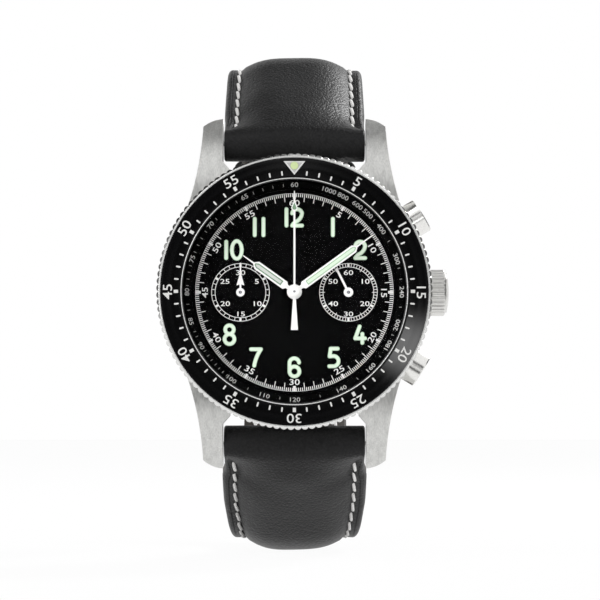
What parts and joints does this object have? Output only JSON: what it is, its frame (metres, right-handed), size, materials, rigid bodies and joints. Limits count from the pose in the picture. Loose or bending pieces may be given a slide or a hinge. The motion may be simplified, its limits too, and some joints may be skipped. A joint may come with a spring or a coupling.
{
  "type": "pilot wrist watch",
  "caption": "Chronograph wrist watch in a steel case with a scalloped turning bezel, two registers, pushers and a padded leather strap, unbuckled.",
  "frame": {"origin": "centre of the case back's outer face", "axes": "+Z to 12 o'clock, +X to 3 o'clock and the crown, -Y out of the dial towards the reader"},
  "size_m": [0.0447, 0.1094, 0.0801],
  "materials": {
    "case_steel": "brushed along 12 to 6",
    "bezel_steel": "polished",
    "polished_steel": "polished",
    "insert_black": "gloss",
    "gasket_black": "matte",
    "sapphire": "clear, coated",
    "dial_black": "matte",
    "lume": "luminous paint",
    "hand_white": "satin",
    "holder_plastic": "matte",
    "plated_brass": "rhodium plated",
    "wheel_brass": "gilt",
    "leather_black": "fine grain, matte",
    "padding_foam": "felt",
    "lining_leather": "smooth"
  },
  "bodies": {
    "case": {"mid_case": "case_steel", "case_back": "polished_steel", "crystal": "sapphire", "case_gaskets": "gasket_black", "flange_ring": "dial_black", "dial": "dial_black", "hour_numerals": "lume", "movement_holder": "holder_plastic", "main_plate": "plated_brass", "train_bridge": "plated_brass", "balance_cock": "plated_brass", "bridge_screws": "polished_steel", "barrel_arbor": "polished_steel", "mainspring": "polished_steel", "bezel_springs": "polished_steel", "case_tubes": "polished_steel", "pusher_springs": "polished_steel", "spring_bars": "polished_steel"},
    "bezel": {"bezel_ring": "bezel_steel", "bezel_insert": "insert_black", "bezel_triangle": "polished_steel", "bezel_pip": "lume"},
    "stem": {"winding_stem": "polished_steel"},
    "crown": {"crown": "polished_steel", "crown_gasket": "gasket_black"},
    "pusher_upper": {"pusher_upper": "polished_steel"},
    "pusher_lower": {"pusher_lower": "polished_steel"},
    "hour_work": {"hour_hand": "hand_white", "hour_hand_lume": "lume", "hour_wheel": "wheel_brass"},
    "minute_work": {"minute_hand": "hand_white", "minute_hand_lume": "lume", "cannon_pinion": "wheel_brass"},
    "minute_wheel": {"minute_wheel": "wheel_brass"},
    "chrono_seconds": {"chrono_hand": "hand_white", "chrono_hand_lume": "lume", "chrono_wheel": "wheel_brass"},
    "chrono_idler": {"chrono_idler": "wheel_brass"},
    "minute_counter": {"minute_counter_hand": "hand_white", "counter_wheel": "wheel_brass"},
    "small_seconds": {"small_seconds_hand": "hand_white", "fourth_wheel": "wheel_brass"},
    "third_wheel": {"third_wheel": "wheel_brass"},
    "centre_wheel": {"centre_wheel": "wheel_brass"},
    "barrel": {"mainspring_barrel": "wheel_brass"},
    "escape_wheel": {"escape_wheel": "wheel_brass"},
    "pallet_fork": {"pallet_fork": "polished_steel"},
    "balance": {"balance_wheel": "wheel_brass", "hairspring": "polished_steel"},
    "strap_short": {"strap_short_leather": "leather_black", "strap_short_padding": "padding_foam", "strap_short_lining": "lining_leather", "fixed_keeper": "leather_black"},
    "strap_long": {"strap_long_leather": "leather_black", "strap_long_padding": "padding_foam", "strap_long_lining": "lining_leather"},
    "buckle": {"buckle_frame": "polished_steel", "buckle_bar": "polished_steel"},
    "tongue": {"buckle_tongue": "polished_steel"},
    "free_keeper": {"free_keeper": "leather_black"}
  },
  "joints": [
    {"name": "bezel_turn", "type": "hinge", "parent": "case", "child": "bezel", "pos_m": [0, -0.00875, 0], "axis": [0, 1, 0], "continuous": true},
    {"name": "crown_pull", "type": "slide", "parent": "case", "child": "stem", "axis": [1, 0, 0], "range_m": [0, 0.001]},
    {"name": "crown_turn", "type": "hinge", "parent": "stem", "child": "crown", "pos_m": [0.02075, -0.0049, 0], "axis": [1, 0, 0], "continuous": true},
    {"name": "start_stop_press", "type": "slide", "parent": "case", "child": "pusher_upper", "axis": [-0.8526, 0, -0.5225], "range_m": [0, 0.0009], "stiffness_N_per_m": 600},
    {"name": "reset_press", "type": "slide", "parent": "case", "child": "pusher_lower", "axis": [-0.8526, 0, 0.5225], "range_m": [0, 0.0009], "stiffness_N_per_m": 600},
    {"name": "minute_hand_turn", "type": "hinge", "parent": "case", "child": "minute_work", "pos_m": [0, -0.00875, 0], "axis": [0, 1, 0], "continuous": true},
    {"name": "hour_hand_turn", "type": "hinge", "parent": "case", "child": "hour_work", "pos_m": [0, -0.00815, 0], "axis": [0, 1, 0], "continuous": true},
    {"name": "minute_wheel_turn", "type": "hinge", "parent": "case", "child": "minute_wheel", "pos_m": [-0.00204, -0.006, -0.00204], "axis": [0, 1, 0], "continuous": true},
    {"name": "chrono_seconds_turn", "type": "hinge", "parent": "case", "child": "chrono_seconds", "pos_m": [0, -0.0093, 0], "axis": [0, 1, 0], "continuous": true},
    {"name": "chrono_idler_turn", "type": "hinge", "parent": "case", "child": "chrono_idler", "pos_m": [-0.00434, -0.0025, 0], "axis": [0, 1, 0], "continuous": true},
    {"name": "minute_counter_turn", "type": "hinge", "parent": "case", "child": "minute_counter", "pos_m": [-0.00824, -0.0025, 0], "axis": [0, 1, 0], "continuous": true},
    {"name": "small_seconds_turn", "type": "hinge", "parent": "case", "child": "small_seconds", "pos_m": [0.00824, -0.00453, 0], "axis": [0, 1, 0], "continuous": true},
    {"name": "third_wheel_turn", "type": "hinge", "parent": "case", "child": "third_wheel", "pos_m": [0.00412, -0.00453, -0.00205], "axis": [0, 1, 0], "continuous": true},
    {"name": "centre_wheel_turn", "type": "hinge", "parent": "case", "child": "centre_wheel", "pos_m": [0, -0.00453, 0], "axis": [0, 1, 0], "continuous": true},
    {"name": "barrel_turn", "type": "hinge", "parent": "case", "child": "barrel", "pos_m": [0, -0.00453, 0.0062], "axis": [0, 1, 0], "continuous": true},
    {"name": "escape_wheel_turn", "type": "hinge", "parent": "case", "child": "escape_wheel", "pos_m": [0.01114, -0.00453, -0.0029], "axis": [0, 1, 0], "continuous": true},
    {"name": "pallet_fork_rock", "type": "hinge", "parent": "case", "child": "pallet_fork", "pos_m": [0.00927, -0.00453, -0.00512], "axis": [0, 1, 0], "range_deg": [-5, 5]},
    {"name": "balance_swing", "type": "hinge", "parent": "case", "child": "balance", "pos_m": [0.006, -0.00453, -0.009], "axis": [0, 1, 0], "range_deg": [-270, 270], "stiffness_Nm_per_rad": 0.00000035},
    {"name": "strap_short_hinge", "type": "hinge", "parent": "case", "child": "strap_short", "pos_m": [0, -0.0026, 0.0232], "axis": [1, 0, 0], "range_deg": [-12, 85]},
    {"name": "strap_long_hinge", "type": "hinge", "parent": "case", "child": "strap_long", "pos_m": [0, -0.0026, -0.0232], "axis": [-1, 0, 0], "range_deg": [-12, 85]},
    {"name": "buckle_hinge", "type": "hinge", "parent": "strap_short", "child": "buckle", "pos_m": [0, 0.06299, 0.01466], "axis": [1, 0, 0], "range_deg": [-45, 35]},
    {"name": "tongue_hinge", "type": "hinge", "parent": "buckle", "child": "tongue", "pos_m": [0, 0.06299, 0.01466], "axis": [1, 0, 0], "range_deg": [0, 75]},
    {"name": "keeper_slide", "type": "slide", "parent": "strap_short", "child": "free_keeper", "axis": [0, 0.8192, -0.5736], "range_m": [-0.005, 0.008]}
  ],
  "couplings": [
    {"joint": "hour_hand_turn", "follows": "minute_hand_turn", "ratio": 0.083333},
    {"joint": "minute_wheel_turn", "follows": "minute_hand_turn", "ratio": -0.33333},
    {"joint": "chrono_idler_turn", "follows": "chrono_seconds_turn", "ratio": -0.066667},
    {"joint": "minute_counter_turn", "follows": "chrono_seconds_turn", "ratio": 0.033333},
    {"joint": "third_wheel_turn", "follows": "small_seconds_turn", "ratio": -0.13333},
    {"joint": "centre_wheel_turn", "follows": "small_seconds_turn", "ratio": 0.016667},
    {"joint": "barrel_turn", "follows": "small_seconds_turn", "ratio": -0.0020833},
    {"joint": "escape_wheel_turn", "follows": "small_seconds_turn", "ratio": -10}
  ]
}
